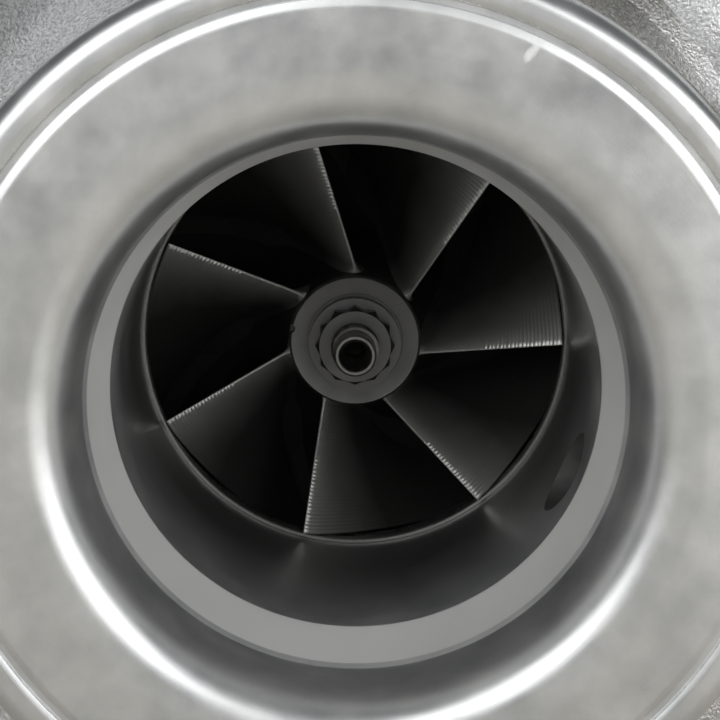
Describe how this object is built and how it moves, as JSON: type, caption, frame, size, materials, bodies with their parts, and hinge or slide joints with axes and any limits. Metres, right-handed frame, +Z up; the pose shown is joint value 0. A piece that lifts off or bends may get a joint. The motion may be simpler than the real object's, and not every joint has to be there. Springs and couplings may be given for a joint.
{
  "type": "turbocharger",
  "caption": "Turbocharger with compressor and turbine housings, bladed rotor, internal wastegate, actuator, oil and coolant connections.",
  "frame": {"origin": "centre of the compressor inlet's front face, on the rotor axis", "axes": "the rotor axis is Y; the compressor inlet looks along -Y and the turbine outlet along +Y; +Z is up, with the oil feed on top and the oil drain below"},
  "size_m": [0.2188, 0.262, 0.2187],
  "materials": {
    "cast_aluminium": "sand-cast skin with satin machined inlet faces",
    "machined_aluminium": "turned, satin",
    "dark_milled_aluminium": "five-axis milled with fine tool ridges, dark",
    "black_steel": "black oxide",
    "cast_iron_housing": "rough cast",
    "turbine_iron": "rough cast, heat-darkened",
    "nickel_alloy": "investment cast",
    "shaft_steel": "ground",
    "stainless": "satin stainless",
    "plated_steel": "zinc plated",
    "passivated_steel": "yellow passivated zinc",
    "stud_steel": "dark alloy steel",
    "bronze": "machined bronze",
    "copper_washer": "annealed copper",
    "copper_nut": "copper plated",
    "seal_rubber": "moulded, matt",
    "gasket_sheet": "fibre gasket sheet"
  },
  "bodies": {
    "core": {"compressor_housing": "cast_aluminium", "vent_fitting": "plated_steel", "backplate": "machined_aluminium", "backplate_o_ring": "seal_rubber", "compressor_clamp_plates": "plated_steel", "compressor_clamp_bolts": "plated_steel", "backplate_bolts": "plated_steel", "bearing_housing": "cast_iron_housing", "journal_bearing": "bronze", "bearing_pin": "shaft_steel", "thrust_bearing": "bronze", "oil_baffle": "plated_steel", "compressor_seal_ring": "shaft_steel", "turbine_seal_ring": "shaft_steel", "oil_inlet_gasket": "gasket_sheet", "oil_inlet_fitting": "plated_steel", "oil_inlet_bolts": "plated_steel", "oil_drain_gasket": "gasket_sheet", "oil_drain_flange": "plated_steel", "oil_drain_bolts": "plated_steel", "coolant_washers": "copper_washer", "coolant_fittings": "plated_steel", "heat_shield": "stainless", "turbine_housing": "turbine_iron", "turbine_outlet_studs": "stud_steel", "vband_clamp": "stainless", "vband_t_bolt": "stainless", "vband_nut": "copper_nut", "wastegate_bushing": "stainless", "actuator_front_can": "passivated_steel", "actuator_rear_can": "passivated_steel", "actuator_diaphragm": "seal_rubber", "actuator_spring": "shaft_steel", "actuator_bracket": "passivated_steel", "bracket_bolts": "plated_steel", "actuator_nuts": "plated_steel"},
    "rotor": {"turbine_wheel": "nickel_alloy", "rotor_shaft": "shaft_steel", "oil_flinger": "shaft_steel", "thrust_collar": "shaft_steel", "compressor_wheel": "dark_milled_aluminium", "compressor_nut": "black_steel"},
    "wastegate": {"wastegate_arm": "nickel_alloy", "wastegate_valve": "nickel_alloy", "valve_washer": "stainless", "wastegate_lever": "stainless", "lever_pin": "stainless", "pin_clip": "shaft_steel"},
    "rod": {"actuator_rod": "stainless", "rod_end": "plated_steel", "rod_lock_nut": "plated_steel", "piston_plate": "passivated_steel"}
  },
  "joints": [
    {"name": "rotor_spin", "type": "hinge", "parent": "core", "child": "rotor", "pos_m": [0, 0.12, 0], "axis": [0, 1, 0], "continuous": true},
    {"name": "wastegate_pivot", "type": "hinge", "parent": "core", "child": "wastegate", "pos_m": [0.06, 0.208, 0.02689], "axis": [1, 0, 0], "range_deg": [0, 35], "stiffness_Nm_per_rad": 1.5, "springref_deg": -28.65, "deforming": ["actuator_spring", "actuator_diaphragm"]},
    {"name": "rod_pivot", "type": "hinge", "parent": "wastegate", "child": "rod", "pos_m": [0.092, 0.20078, 0.004], "axis": [1, 0, 0], "range_deg": [-35, 0]}
  ],
  "couplings": [
    {"joint": "rod_pivot", "follows": "wastegate_pivot", "ratio": -1}
  ]
}
